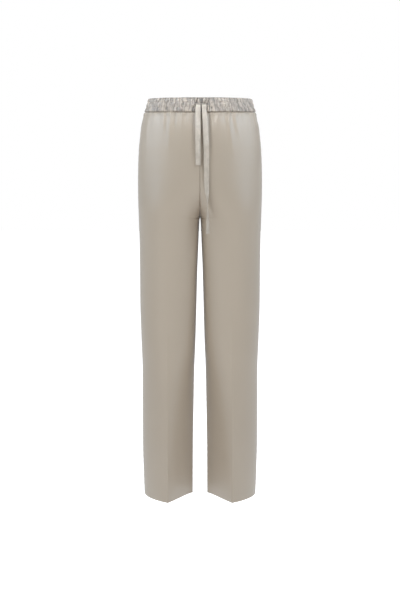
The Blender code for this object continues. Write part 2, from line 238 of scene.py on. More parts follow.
def finish_piece(name, mesh, materials):
    """Put a finished mesh in the scene as one smooth piece."""
    data = bpy.data.meshes.new(name)
    mesh.to_mesh(data)
    mesh.free()
    data.shade_smooth()
    for material in materials:
        data.materials.append(material)
    made = bpy.data.objects.new(name, data)
    bpy.context.scene.collection.objects.link(made)
    return made


SATIN = make_satin("beige_satin", (0.44, 0.36, 0.275), (0.37, 0.3, 0.225), 0.42, sheen=0.4)
SATIN_BACK = make_satin("satin_wrong_side", (0.37, 0.32, 0.26), (0.31, 0.265, 0.21), 0.72, 0.3, 0.05)

SEAM_HEIGHT = -17.4
CROTCH_HEIGHT = -289.0
HEM_HEIGHT = -1035.0
SEAM_GAP = 0.3
CLOTH_THICK = 0.5

# The body and leg sections. side and inner are the X of the side seam and of the leg's inner side; above
# the crotch inner is negative, because there the two legs run together and meet at the centre seam.
# front and back are the depths before and behind the side seam. bend, close_out and close_in shape the
# curve: an ellipse with all three at 2, and a sharper front and back crease as they near 1.
Section = namedtuple("Section", "height side inner front back bend close_out close_in")
SECTIONS = [
    Section(-17, 140.8, -140.8, 95.6, 94.4, 2.1, 2.0, 2.0),
    Section(-26, 144.4, -144.4, 100.0, 99.0, 2.12, 2.0, 2.0),
    Section(-37, 148.0, -148.0, 103.2, 103.5, 2.15, 2.0, 2.0),
    Section(-55, 152.8, -152.8, 106.2, 108.0, 2.2, 2.0, 2.0),
    Section(-83, 156.3, -156.3, 108.4, 113.5, 2.35, 2.0, 2.0),
    Section(-114, 159.3, -158.0, 110.0, 120.0, 2.5, 2.0, 2.0),
    Section(-165, 161.5, -136.0, 111.5, 129.0, 2.6, 2.0, 2.2),
    Section(-199, 162.0, -96.0, 112.0, 132.0, 2.5, 2.0, 2.7),
    Section(-229, 162.0, -52.0, 111.5, 131.5, 2.35, 2.0, 3.5),
    Section(-249, 161.6, -26.0, 110.8, 129.5, 2.25, 2.0, 4.2),
    Section(-269, 161.1, -8.0, 109.5, 127.0, 2.2, 2.0, 4.9),
    Section(-279, 160.8, -3.0, 108.8, 125.7, 2.18, 2.0, 5.0),
    Section(-289, 160.5, 0.4, 108.0, 124.0, 2.15, 2.0, 5.1),
    Section(-303, 160.2, 2.0, 107.2, 121.8, 2.15, 2.0, 5.2),
    Section(-349, 159.0, 3.8, 104.0, 114.0, 2.15, 2.0, 5.3),
    Section(-428, 158.4, 7.1, 101.0, 106.0, 2.15, 2.0, 4.6),
    Section(-508, 158.2, 9.2, 98.0, 100.0, 2.15, 2.0, 4.0),
    Section(-616, 155.6, 12.1, 94.5, 95.5, 2.05, 1.95, 3.1),
    Section(-697, 153.2, 15.2, 92.5, 93.5, 1.75, 1.8, 1.9),
    Section(-779, 153.7, 16.5, 92.0, 92.5, 1.5, 1.75, 1.35),
    Section(-889, 154.0, 18.1, 92.5, 93.0, 1.35, 1.75, 1.08),
    Section(-1000, 151.6, 19.0, 92.5, 93.0, 1.25, 1.8, 0.9),
    Section(-1035, 150.3, 19.6, 92.5, 93.0, 1.2, 1.8, 0.8),
]
SECTION_STEPS = 240
# The backs stay rounder near the inseam: their close_in goes no higher than this.
BACK_CLOSE_IN = 3.5
# At the front the waist hangs this much lower in the middle, and so does the cloth down to DIP_REACH.
FRONT_DIP = 1.5
DIP_REACH = 70.0

# Rows of the cloth down each panel: how far each stretch reaches, and how far apart its rows are.
Stretch = namedtuple("Stretch", "down_to step")
STRETCHES = [Stretch(-22, 0.7), Stretch(-75, 1.7), Stretch(-190, 3.2)]
STRETCHES += [Stretch(CROTCH_HEIGHT, 2.6), Stretch(HEM_HEIGHT, 5.0)]
# The cloth reaches TUCK up under the waistband. Its first row on show is FIRST_ROW below the waist seam,
# and its last is LAST_ROW above the hem's lower edge. NEAR_SEAM are extra columns beside each seam.
TUCK, FIRST_ROW, LAST_ROW = 3.0, 0.2, 0.6
PANEL_COLUMNS = 120
NEAR_SEAM = np.array([0.3, 0.65])
# At the waist seam the cloth goes in under the waistband, which presses most of its gathers flat, and
# it swells out again just below.
WAIST_SINK, WAIST_SINK_REACH = 1.9, 0.8
WAIST_PRESSES = 0.8
WAIST_SWELL, WAIST_SWELL_DROP, WAIST_SWELL_REACH = 1.4, 5.2, 3.8

# Gathers at the waist seam: the large ones of the cut, and small ones between them.
Gather = namedtuple("Gather", "count height reach wander wander_waves size size_waves uneven uneven_waves")
GATHERS = [
    Gather(10, 2.0, 46.0, 0.22, 2.2, 0.25, 3.7, 0.35, 4.9),
    Gather(23, 1.7, 20.0, 0.55, 3.1, 0.45, 5.3, 0.60, 6.7),
    Gather(37, 1.0, 12.0, 0.60, 4.3, 0.50, 7.1, 0.60, 9.1),
]
# Where each panel's gathers begin, as an angle, so that no two panels are alike.
PHASES = {"front_left": 0.4, "front_right": 2.1, "back_left": 3.3, "back_right": 5.0}

# Soft folds and hollows. at is the distance from the centre seam along the cloth, start
# how far below the waist seam one begins and reach how far below it ends, lean how far it moves towards
# the side for each millimetre down, and a height under 0 is a trough. They stay clear of the seams, and
# one that begins lower down grows in gradually.
Fold = namedtuple("Fold", "panel at start lean reach width height")
FOLDS = [
    # The front, as it shows.
    Fold("front_left", 5, 0, 0.02, 190, 7, -4.2),
    Fold("front_left", 22, 0, 0.05, 165, 8, -2.8),
    Fold("front_left", 30, 0, 0.04, 30, 6, 0.9),
    Fold("front_left", 52, 0, -0.02, 56, 11, 2.1),
    Fold("front_left", 60, 0, 0.18, 70, 7, -1.4),
    Fold("front_left", 70, 0, 0.14, 130, 14, 3.8),
    Fold("front_left", 79, 0, 0.2, 66, 7, -1.4),
    Fold("front_left", 88, 0, 0.22, 90, 11, 3.0),
    Fold("front_left", 112, 0, 0.02, 44, 8, -0.9),
    Fold("front_left", 132, 0, 0.03, 66, 13, 2.0),
    Fold("front_left", 154, 0, 0.01, 165, 22, 1.6),
    Fold("front_right", 14, 0, -0.02, 26, 5, 1.1),
    Fold("front_right", 16, 0, -0.01, 130, 8, -2.2),
    Fold("front_right", 24, 0, 0.05, 34, 6, -0.8),
    Fold("front_right", 47, 0, -0.03, 64, 11, 2.2),
    Fold("front_right", 62, 0, 0.06, 62, 7, -1.1),
    Fold("front_right", 76, 0, 0.03, 135, 15, 4.0),
    Fold("front_right", 85, 0, 0.03, 84, 7, -1.2),
    Fold("front_right", 94, 0, 0.02, 78, 11, 2.6),
    Fold("front_right", 128, 0, 0.04, 60, 13, 2.0),
    Fold("front_right", 150, 0, 0.02, 150, 20, 1.6),
    # The back, with folds of the same kind, and soft ones under the seat and behind the knee.
    Fold("back_left", 34, 0, 0.04, 46, 9, 1.2),
    Fold("back_left", 52, 0, 0.05, 195, 24, 2.2),
    Fold("back_left", 70, 0, 0.05, 105, 17, 3.0),
    Fold("back_left", 88, 0, 0.03, 66, 8, -1.0),
    Fold("back_left", 106, 0, 0.02, 75, 14, 2.1),
    Fold("back_left", 128, 0, -0.02, 205, 32, -2.4),
    Fold("back_left", 146, 0, 0.03, 44, 9, 1.1),
    Fold("back_left", 116, 286, 0.32, 470, 26, -3.2),
    Fold("back_left", 149, 302, 0.28, 405, 19, -2.0),
    Fold("back_left", 158, 436, -0.15, 630, 36, -2.4),
    Fold("back_right", 40, 0, 0.02, 52, 9, 1.3),
    Fold("back_right", 48, 0, 0.06, 215, 26, 2.4),
    Fold("back_right", 66, 0, 0.03, 110, 17, 3.0),
    Fold("back_right", 92, 0, 0.05, 60, 8, -1.0),
    Fold("back_right", 112, 0, 0.04, 70, 14, 2.0),
    Fold("back_right", 122, 0, -0.03, 180, 30, -2.2),
    Fold("back_right", 150, 0, 0.02, 40, 9, 1.0),
    Fold("back_right", 112, 280, 0.36, 450, 24, -3.4),
    Fold("back_right", 144, 296, 0.26, 420, 20, -2.2),
    Fold("back_right", 150, 450, -0.12, 650, 34, -2.4),
]
FOLD_GROWS = 60.0
FOLD_CLEAR = 4.0

# The pressed crease: a fine ridge down the middle of each leg, from the knee to the hem.
CREASE_RIDGE, CREASE_WIDTH = 1.9, 3.0
CREASE_FROM, CREASE_FULL = -520.0, -720.0

# Seams: how far and how wide the cloth dips to the stitches, and the small puckers along them.
SEAM_DIP, SEAM_DIP_WIDTH = 0.8, 1.5
PUCKER, PUCKER_WIDTH, PUCKER_LENGTH = 0.22, 7.0, 17.0
PUCKER_DRIFT, PUCKER_DRIFT_LENGTH, PUCKER_SHIFT = 1.9, 41.0, 1.7
# Each panel's edge reaches this far past its seam, so that no light comes through.
SEAM_LAP = 0.1

# How much shade is painted into the cloth's colour, from 0 to 1: the shadow under the waistband at the
# waist seam, shade at the other seams, in the folds near the waist, and between the gathers where they are
# lower than a set height.
WAIST_SHADOW_PAINT = 0.5
SEAM_SHADE_PAINT, SEAM_SHADE_PAINT_WIDTH = 0.25, 1.3
FOLD_SHADE_PAINT_DEPTH, FOLD_SHADE_PAINT_DROP, FOLD_SHADE_PAINT_FADES = 6.0, 170.0, 60.0
GATHER_SHADE_PAINT, GATHER_SHADE_PAINT_BELOW, GATHER_SHADE_PAINT_REACH = 0.35, 1.4, 14.0

# The hem: the cloth turns inwards round its lower edge and up again.
Turn = namedtuple("Turn", "rise inwards")
HEM_TURN = [Turn(0.25, 0.1), Turn(0.05, 0.4), Turn(0, 0.8), Turn(0.05, 1.2), Turn(0.3, 1.5), Turn(6, 1.6)]
HEM_TURN += [Turn(16, 1.65), Turn(28, 1.7)]


def smooth_between(heights, values, height):
    """Read a table column at a height, on a curve through its rows that never overshoots them."""
    if height >= heights[0]:
        return values[0]
    if height <= heights[-1]:
        return values[-1]
    slopes = np.diff(values) / np.diff(heights)

    def tangent(k):
        if k == 0 or k == len(heights) - 1:
            return slopes[min(k, len(slopes) - 1)]
        before, after = slopes[k - 1], slopes[k]
        return 0.0 if before * after <= 0 else 2 * before * after / (before + after)

    k = next(i for i in range(len(slopes)) if height >= heights[i + 1])
    step = heights[k + 1] - heights[k]
    s = (height - heights[k]) / step
    start = (1 + 2 * s) * (1 - s) ** 2 * values[k] + s * (1 - s) ** 2 * step * tangent(k)
    end = s * s * (3 - 2 * s) * values[k + 1] + s * s * (s - 1) * step * tangent(k + 1)
    return start + end


def row_at(table, height):
    """A table's row at a height between its own rows. Its first column is the height."""
    heights = [row[0] for row in table]
    columns = [smooth_between(heights, [row[k] for row in table], height) for k in range(1, len(table[0]))]
    return type(table[0])(height, *columns)


def fade(share):
    """From 1 at 0 down to 0 at 1, level at both ends."""
    return 0.5 + 0.5 * np.cos(math.pi * np.clip(share, 0.0, 1.0))


def ridges(turns):
    """A row of rounded ridges, one to a turn, from 0 in the hollows to 1 on top."""
    return 0.5 - 0.5 * np.cos(2 * math.pi * turns)


def section_line(section, depth, close_in):
    """One panel's section as x and y, from its centre seam or inseam round the crease to its side seam."""
    centre = (section.side + section.inner) / 2
    half = (section.side - section.inner) / 2
    first = math.acos(min(1.0, (centre - SEAM_GAP / 2) / half))
    angle = np.linspace(first, math.pi, SECTION_STEPS)
    close = np.where(angle < math.pi / 2, close_in, section.close_out)
    y = depth * np.maximum(0.0, 1 - np.abs(np.cos(angle)) ** section.bend) ** (1 / close)
    return centre - half * np.cos(angle), -y


def lengths_along(x, y):
    """The distance along a line of points, at each point."""
    return np.concatenate([[0.0], np.cumsum(np.hypot(np.diff(x), np.diff(y)))])


def gather_out(name, share, drop):
    """How far the gathers push the cloth out, at shares of the way across a panel."""
    turn, phase = 2 * math.pi * share, PHASES[name]
    out = 0.0
    for kind in GATHERS:
        wander = kind.wander * np.sin(turn / 2) * np.sin(kind.wander_waves * turn + phase)
        size = 1 - kind.size + kind.size * np.sin(kind.size_waves * turn + 2 * phase)
        reach = kind.reach * (1 + kind.uneven * np.sin(kind.uneven_waves * turn + phase))
        out = out + kind.height * size * ridges(kind.count * share + wander) * fade(drop / reach)
    return out


def fold_out(name, distance, drop):
    """How far the soft folds push the cloth out, at distances along a section."""
    out = 0.0
    for fold in FOLDS:
        if fold.panel == name and fold.start <= drop < fold.reach:
            off = (distance - fold.at - fold.lean * (drop - fold.start)) / (fold.width / 2)
            length = fade((drop - fold.start) / (fold.reach - fold.start))
            if fold.start:
                length *= 1 - fade((drop - fold.start) / FOLD_GROWS)
            out = out + fold.height * np.exp(-off * off) * length
    return out


def seam_out(distance, length, height, phase):
    """The dip of the cloth at the seams of a panel's two edges, and the puckers beside them."""
    out = 0.0
    drift = PUCKER_DRIFT * math.sin(height / PUCKER_DRIFT_LENGTH + phase)
    for edge, shift in ((distance, 0.0), (length - distance, PUCKER_SHIFT)):
        pucker = np.sin(2 * math.pi * height / PUCKER_LENGTH + drift + shift)
        out = out - SEAM_DIP * np.exp(-((edge / SEAM_DIP_WIDTH) ** 2))
        out = out + PUCKER * pucker * np.exp(-((edge / PUCKER_WIDTH) ** 2))
    return out


def panel_heights():
    """Each row's height, and how far the turned hem has it inwards."""
    height = SEAM_HEIGHT - FIRST_ROW
    rows = [(SEAM_HEIGHT + TUCK, 0.0), (SEAM_HEIGHT + TUCK / 2, 0.0), (height, 0.0)]
    for stretch in STRETCHES:
        count = round((height - stretch.down_to) / stretch.step)
        rows += [(height + (stretch.down_to - height) * k / count, 0.0) for k in range(1, count + 1)]
        height = stretch.down_to
    rows[-1] = (HEM_HEIGHT + LAST_ROW, 0.0)
    return rows + [(HEM_HEIGHT + turn.rise, turn.inwards) for turn in HEM_TURN]


def column_shares():
    """The share of the way across a panel of each column, closer together at the two seams."""
    even = np.linspace(0, 1, PANEL_COLUMNS - 3)
    near = NEAR_SEAM * even[1]
    return np.concatenate([[0], near, even[1:-1], 1 - near[::-1], [1]])


def painted_shade_of(to_seam, drop, sink, gathered, folded):
    """How much shade is painted into the cloth's colour along a row, from 0 to 1."""
    painted_shade_level = WAIST_SHADOW_PAINT * sink / WAIST_SINK + SEAM_SHADE_PAINT * np.exp(-((to_seam / SEAM_SHADE_PAINT_WIDTH) ** 2))
    in_folds = np.maximum(0, -folded / FOLD_SHADE_PAINT_DEPTH) * fade((drop - FOLD_SHADE_PAINT_DROP) / FOLD_SHADE_PAINT_FADES)
    between = np.maximum(0, 1 - gathered / GATHER_SHADE_PAINT_BELOW) * fade(drop / GATHER_SHADE_PAINT_REACH)
    return np.minimum(painted_shade_level + in_folds + GATHER_SHADE_PAINT * between, 1.0)


def panel_row(name, height, inwards, shares):
    """One row of a panel, in metres: its points, their distances across the cloth, and how much shade is
    painted into each one's colour."""
    section = row_at(SECTIONS, height)
    is_back = name.startswith("back")
    depth = section.back if is_back else section.front
    close_in = min(section.close_in, BACK_CLOSE_IN) if is_back else section.close_in
    x, y = section_line(section, depth, close_in)
    along = lengths_along(x, y)
    leg = row_at(SECTIONS, min(height, CROTCH_HEIGHT))
    to_crease = np.interp((leg.side + leg.inner) / 2, x, along)
    distance = np.interp(shares, [0, 0.5, 1], [0, to_crease, along[-1]])
    px, py = np.interp(distance, along, x), np.interp(distance, along, y)
    dx = np.interp(distance, along, np.gradient(x, along))
    dy = np.interp(distance, along, np.gradient(y, along))
    size = np.hypot(dx, dy)
    dx, dy = dx / size, dy / size
    drop = max(SEAM_HEIGHT - height, 0.0)
    to_seam = np.minimum(distance, along[-1] - distance)
    sink = WAIST_SINK * math.exp(-((drop / WAIST_SINK_REACH) ** 2))
    swell = WAIST_SWELL * math.exp(-(((drop - WAIST_SWELL_DROP) / WAIST_SWELL_REACH) ** 2))
    gathered = gather_out(name, shares, drop)
    folded = fold_out(name, distance, drop) * np.clip(to_seam / FOLD_CLEAR, 0, 1)
    out = gathered * (1 - WAIST_PRESSES * sink / WAIST_SINK) + folded
    out = out + seam_out(distance, along[-1], height, PHASES[name]) - inwards - sink + swell
    pressed = np.clip((height - CREASE_FROM) / (CREASE_FULL - CREASE_FROM), 0, 1)
    out = out + CREASE_RIDGE * pressed * np.exp(-np.abs(distance - to_crease) / CREASE_WIDTH)
    # Painted shade: the shadow under the waistband, and shade at the seams, in the folds near the waist and
    # between the gathers.
    painted_shade_level = painted_shade_of(to_seam, drop, sink, gathered, folded)
    px, py = px + dy * out, py - dx * out
    py[-1] = SEAM_LAP
    if height < CROTCH_HEIGHT:
        py[0] = SEAM_LAP
    else:
        px[0] = -SEAM_LAP
    dip = 0.0 if is_back else FRONT_DIP * np.minimum(py / section.front, 0) ** 2 * fade(drop / DIP_REACH)
    side_way = -1 if name.endswith("right") else 1
    back_way = -1 if is_back else 1
    points = np.stack([side_way * px, back_way * py, height - dip + 0 * px], axis=1) * MM
    return points, distance * MM, painted_shade_level


def make_panel(name):
    """One leg panel, as a sheet of satin from the waistband to the turned hem."""
    rows, shares = panel_heights(), column_shares()
    points, across, painted_shade_levels = zip(*[panel_row(name, height, inwards, shares) for height, inwards in rows])
    down = np.concatenate([[0], np.cumsum(np.abs(np.diff([height for height, inwards in rows])))])
    mesh = lay_cloth(points, across, -down * MM, painted_shade_levels)
    # The two mirrored panels come out with their wrong side outwards.
    if name in ("front_right", "back_left"):
        bmesh.ops.reverse_faces(mesh, faces=mesh.faces)
    panel = finish_piece(f"{name}_panel", mesh, [SATIN, SATIN_BACK])
    wall = panel.modifiers.new("cloth", "SOLIDIFY")
    wall.thickness = CLOTH_THICK * MM
    wall.offset = -1
    wall.material_offset = 1
    return panel


# The record of a panel's flat size before it is sewn: its widest place by its length, and its area. No
# panel's size is worked out here.
Cut = namedtuple("Cut", "width length area")

for name in PHASES:
    panel = make_panel(name)
    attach(panel, "root")
    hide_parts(name)


# The waistband: a casing of the same satin, gathered on a flat elastic. Two rows of stitching through
# the elastic part it into three puffed channels, and the leg panels are sewn to its lower edge.
# Its satin is lighter than the leg panels': a painted highlight for the light the gathered casing catches.
BAND_SATIN = make_satin("waistband_satin", (0.51, 0.425, 0.345), (0.41, 0.34, 0.275), 0.42, cloud=30.0)

# The outer face, top to bottom. side, front and back are its size in the hollows between the gathers,
# and ridge the gathers' height.
Band = namedtuple("Band", "height side front back ridge")
BAND = [
    Band(17.4, 129.4, 87.0, 85.2, 1.6),
    Band(16.6, 131.0, 88.6, 86.8, 2.6),
    Band(12.6, 132.6, 90.1, 88.3, 3.3),
    Band(8.2, 133.6, 91.0, 89.2, 3.2),
    Band(7.0, 133.8, 91.1, 89.3, 2.3),
    Band(5.8, 134.4, 91.5, 89.7, 3.2),
    Band(0.8, 136.5, 93.2, 91.4, 3.6),
    Band(-4.3, 137.6, 93.9, 92.3, 3.2),
    Band(-5.5, 137.8, 94.0, 92.4, 2.3),
    Band(-6.7, 138.3, 94.4, 92.8, 3.2),
    Band(-11.4, 140.0, 95.8, 94.4, 3.6),
    Band(-15.6, 141.2, 96.7, 95.3, 3.3),
    Band(-17.2, 140.4, 96.0, 94.6, 2.2),
]
BAND_ROWS = 40
BAND_DEPTH = 4.0
# The inner face is nearly smooth, and draws in a little towards its two edges.
INNER_RIDGE = 0.9
ROUND_IN, ROUND_OVER = 0.6, 1.5
BAND_GATHERS = 84
COLUMNS_PER_GATHER = 11
STITCH_ROWS = (7.0, -5.5)
# Points nearer than this, in metres, are one point.
MERGE = 0.00001

# The gathers' unevenness, as sums of sine waves: size, how many turns go round the ring, how many
# millimetres of height move its phase by one radian, and its phase. The gathers wander and lean, differ
# in size, and move along at each row of stitching.
Wave = namedtuple("Wave", "size turns rise phase", defaults=[0.0])
UPRIGHT = math.inf
WANDER = [Wave(0.3, 9, UPRIGHT), Wave(0.2, 31, UPRIGHT, 1.3)]
LEAN = [Wave(0.1, 6, 5.0), Wave(0.07, 43, 2.1)]
MOVES = [
    [Wave(0.3, 17, UPRIGHT), Wave(0.2, 57, UPRIGHT)],
    [Wave(0.3, 23, UPRIGHT, 2.2), Wave(0.2, 57, UPRIGHT, 1.0)],
]
MOVE_BLEND = 0.7
MEAN_SIZE = 0.76
SIZES = [Wave(0.16, 13, 9.0), Wave(0.16, 47, 6.0, 2.0)]
ROUND_TOPS = 0.6
# Small gathers between the large ones: how many to each large one, and how they follow it.
SMALL_COUNT, SMALL_WANDER, SMALL_MOVE, SMALL_LEAN = 2.37, 3, 2, 17.0
SMALL_SIZES = [Wave(0.5, 23, 3.0)]
LARGE_PART, SMALL_PART = 0.85, 0.3
# How much shade is painted into the hollows between the gathers, and into the pinched folds. Inside the
# buttonholes it is painted as well.
BAND_SHADE_PAINT, BAND_SHADE_PAINT_FALLS, PINCH_SHADE_PAINT = 1.25, 1.55, 0.4

# The two buttonholes that the tie comes out of, and the folds pinched in beside them, as lines from a
# lower to an upper end on the front.
HOLES = (-4.8, 9.8)
HOLE_HEIGHT, HOLE_WIDE, HOLE_TALL, HOLE_DEEP = 1.0, 7.2, 2.6, 1.4
HOLE_SQUARE = 4
Pinch = namedtuple("Pinch", "x_low z_low x_high z_high width depth")
PINCHES = [
    Pinch(-12, -7, -5, 15, 1.5, 2.2),
    Pinch(-17, 1, -21, 15, 1.3, 1.4),
    Pinch(-13, -15, -16, -4, 1.3, 1.5),
    Pinch(2.5, -16, 2.0, 14, 1.7, 2.6),
    Pinch(6, 4, 5, 15, 1.4, 2.0),
    Pinch(12, 4, 14, 14, 1.4, 2.0),
    Pinch(17.5, -12, 18, 3, 1.6, 2.4),
    Pinch(20, 5, 25, 16, 1.3, 1.5),
    Pinch(24, -14, 22, -4, 1.3, 1.4),
]


def band_line(row, columns):
    """The waistband's ring at one of its rows: places, outward directions and the length round it. Points
    of the four quarters that fall together are taken once."""
    section = SECTIONS[0]._replace(side=row.side, inner=-row.side)
    fx, fy = section_line(section, row.front, section.close_in)
    bx, by = section_line(section, row.back, section.close_in)
    x = np.concatenate([fx, bx[::-1], -bx, -fx[::-1], fx[:1]])
    y = np.concatenate([fy, -by[::-1], -by, fy[::-1], fy[:1]])
    along = lengths_along(x, y)
    keep = np.concatenate([[True], np.diff(along) > 1e-6])
    x, y, along = x[keep], y[keep], along[keep]
    distance = along[-1] * np.arange(columns) / columns
    dx = np.interp(distance, along, np.gradient(x, along))
    dy = np.interp(distance, along, np.gradient(y, along))
    size = np.hypot(dx, dy)
    places = np.stack([np.interp(distance, along, x), np.interp(distance, along, y)], axis=1)
    return places, np.stack([dy, -dx], axis=1) / size[:, None], along[-1]


def waves(kinds, turn, height):
    """The sum of a few sine waves round the ring, at a height."""
    return sum(wave.size * np.sin(wave.turns * turn + height / wave.rise + wave.phase) for wave in kinds)


def band_gathers(share, height):
    """The gathers at shares of the way round, from 0 in the hollows to 1: round on top and sharp between,
    uneven, and broken at each row of stitching."""
    turn = 2 * math.pi * share
    wander = waves(WANDER, turn, height)
    move = 0.0
    for stitch, moves in zip(STITCH_ROWS, MOVES):
        move = move + waves(moves, turn, height) / (1 + math.exp((height - stitch) / MOVE_BLEND))
    across = BAND_GATHERS * share + wander + waves(LEAN, turn, height) + move
    large = np.abs(np.sin(math.pi * across)) ** ROUND_TOPS
    across = SMALL_COUNT * BAND_GATHERS * share + SMALL_WANDER * wander + SMALL_MOVE * move
    small = ridges(across + height / SMALL_LEAN) * (0.5 + waves(SMALL_SIZES, turn, height))
    size = MEAN_SIZE + waves(SIZES, turn, height)
    return size * (LARGE_PART * large + SMALL_PART * small)


def pinch_depth(x, height):
    """How deep the pinched folds beside the buttonholes are, at places across the front."""
    depth = 0.0
    for fold in PINCHES:
        share = np.clip((height - fold.z_low) / (fold.z_high - fold.z_low), 0, 1)
        past = height - (fold.z_low + share * (fold.z_high - fold.z_low))
        off = np.hypot(x - (fold.x_low + share * (fold.x_high - fold.x_low)), past)
        depth = depth + fold.depth * np.exp(-((off / fold.width) ** 2))
    return depth


def hole_share(x, height):
    """How far a place on the front is inside a buttonhole, from 0 to 1."""
    inside = 0.0
    for hole in HOLES:
        off = ((x - hole) / HOLE_WIDE) ** HOLE_SQUARE + ((height - HOLE_HEIGHT) / HOLE_TALL) ** HOLE_SQUARE
        inside = inside + np.exp(-off)
    return inside


def band_points(row, sink, lift, columns):
    """One ring of the waistband, in metres, sunk inwards from its hollows or raised by its gathers, with
    its length round and how much shade is painted into each point's colour."""
    places, outwards, length = band_line(row, columns)
    share = np.arange(columns) / columns
    gathers = band_gathers(share, row.height)
    front = places[:, 1] < 0
    hole = np.where(front, hole_share(places[:, 0], row.height), 0.0)
    pinch = np.where(front, pinch_depth(places[:, 0], row.height), 0.0)
    out = lift * (row.ridge * gathers * (1 - hole) - HOLE_DEEP * hole - pinch * (1 - hole)) - sink
    # Painted shade: between the gathers, inside the buttonholes and in the pinched folds.
    painted_shade_level = np.clip(BAND_SHADE_PAINT - BAND_SHADE_PAINT_FALLS * gathers + hole + PINCH_SHADE_PAINT * pinch, 0, 1)
    place = places + outwards * out[:, None]
    dip = FRONT_DIP * np.minimum(place[:, 1] / row.front, 0) ** 2
    dip = dip * (BAND[0].height - row.height) / (BAND[0].height - BAND[-1].height)
    return np.column_stack([place, row.height - dip]) * MM, length * MM, painted_shade_level


def make_waistband():
    """The gathered casing: a closed ring of outer face, lower edge, inner face and upper edge."""
    columns = BAND_GATHERS * COLUMNS_PER_GATHER
    top, bottom = BAND[0], BAND[-1]
    heights = np.linspace(top.height, bottom.height, BAND_ROWS)
    rings = [(row_at(BAND, height), 0.0, 1.0) for height in heights]
    for height in heights[::-2]:
        edge = min(top.height - height, height - bottom.height)
        sink = BAND_DEPTH - ROUND_IN * (1 - min(edge / ROUND_OVER, 1.0))
        rings.append((row_at(BAND, height), sink, -INNER_RIDGE / 2))
    rings.append(rings[0])
    points, lengths, painted_shade_levels = zip(*[band_points(row, sink, lift, columns) for row, sink, lift in rings])
    points = [np.vstack([ring, ring[:1]]) for ring in points]
    painted_shade_levels = [np.append(painted_shade_level, painted_shade_level[0]) for painted_shade_level in painted_shade_levels]
    across = [length * np.linspace(0, 1, columns + 1) for length in lengths]
    mesh = lay_cloth(points, across, -MM * np.arange(len(rings)), painted_shade_levels)
    bmesh.ops.remove_doubles(mesh, verts=mesh.verts, dist=MERGE)
    bmesh.ops.recalc_face_normals(mesh, faces=mesh.faces)
    return finish_piece("waistband_casing", mesh, [BAND_SATIN])


waistband = make_waistband()
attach(waistband, "root")
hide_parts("waistband")


# The thread: a row of small stitches along each channel edge, pulled into the gathers, and a worked rim
# round each buttonhole.
THREAD = bpy.data.materials.new("sewing_thread")
THREAD.use_nodes = True
thread_shader = THREAD.node_tree.nodes["Principled BSDF"]
PLY_TO_THE_METRE = 2600.0
thread_place = Wire.node(THREAD.node_tree, "ShaderNodeTexCoord", output=3)
ply = noise(THREAD.node_tree, thread_place, PLY_TO_THE_METRE, 1.0)
thread_colour = ply.mix_colours((0.34, 0.28, 0.22, 1), (0.52, 0.45, 0.37, 1))
Wire.connect(THREAD.node_tree, thread_shader.inputs["Base Color"], thread_colour)
Wire.connect(THREAD.node_tree, thread_shader.inputs["Roughness"], ply * 0.2 + 0.4)

# Each stitch goes from the first to the last of a few points along the row.
STITCH_LENGTH, STITCH_STEP, THREAD_THICK = 2.4, 3.4, 0.45
STITCH_POINTS = 3
BEAD_SIDES, BEAD_RINGS = 6, 5
# The rims lie just in front of the cloth, at this Y.
RIM_THICK, RIM_SIDES, RIM_SEGMENTS = 1.1, 8, 40
RIM_PLACE = -93.9


def make_stitches():
    """Both rows of stitching round the waistband: one bead of thread, repeated as one joined mesh."""
    bead = bmesh.new()
    bmesh.ops.create_uvsphere(bead, u_segments=BEAD_SIDES, v_segments=BEAD_RINGS, radius=0.5)
    shape = np.array([vert.co for vert in bead.verts]) * (STITCH_LENGTH, THREAD_THICK, THREAD_THICK) * MM
    corners = [[vert.index for vert in face.verts] for face in bead.faces]
    bead.free()
    places, faces = [], []
    for height in STITCH_ROWS:
        row = row_at(BAND, height)
        count = round(band_line(row, STITCH_POINTS)[2] / STITCH_STEP)
        points = band_points(row, -THREAD_THICK / 2, 1.0, STITCH_POINTS * count)[0]
        for start, end in zip(points[::STITCH_POINTS], points[STITCH_POINTS - 1::STITCH_POINTS]):
            turn = np.array(Vector(end - start).to_track_quat("X", "Z").to_matrix())
            faces += [[len(places) * len(shape) + k for k in face] for face in corners]
            places.append(shape @ turn.T + (start + end) / 2)
    beads = bpy.data.meshes.new("beads_of_thread")
    beads.from_pydata(np.concatenate(places), [], faces)
    mesh = bmesh.new()
    mesh.from_mesh(beads)
    bpy.data.meshes.remove(beads)
    return finish_piece("waistband_stitches", mesh, [THREAD])


def make_rims():
    """The worked rims of the two buttonholes, as one mesh."""
    mesh = bmesh.new()
    for hole in HOLES:
        ring = bmesh.ops.create_circle(
            mesh, segments=RIM_SIDES, radius=RIM_THICK / 2 * MM,
            matrix=Matrix.Translation((HOLE_WIDE * MM, 0, 0)) @ Matrix.Rotation(math.pi / 2, 4, "X"),
        )["verts"]
        edges = list(dict.fromkeys(edge for vert in ring for edge in vert.link_edges))
        bmesh.ops.spin(
            mesh, geom=ring + edges, cent=(0, 0, 0), axis=(0, 0, 1), angle=2 * math.pi,
            steps=RIM_SEGMENTS, use_merge=True,
        )
        verts = [vert for vert in mesh.verts if not vert.tag]
        for vert in verts:
            vert.tag = True
            x, y, z = vert.co / MM
            squeeze = 1 - (1 - HOLE_TALL / HOLE_WIDE) * min(1.0, math.hypot(x, y) / HOLE_WIDE)
            vert.co = Vector((hole + x, RIM_PLACE - z, HOLE_HEIGHT + y * squeeze)) * MM
    bmesh.ops.remove_doubles(mesh, verts=mesh.verts, dist=MERGE)
    bmesh.ops.recalc_face_normals(mesh, faces=mesh.faces)
    return finish_piece("buttonhole_rims", mesh, [THREAD])


for piece in (make_stitches(), make_rims()):
    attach(piece, "root")


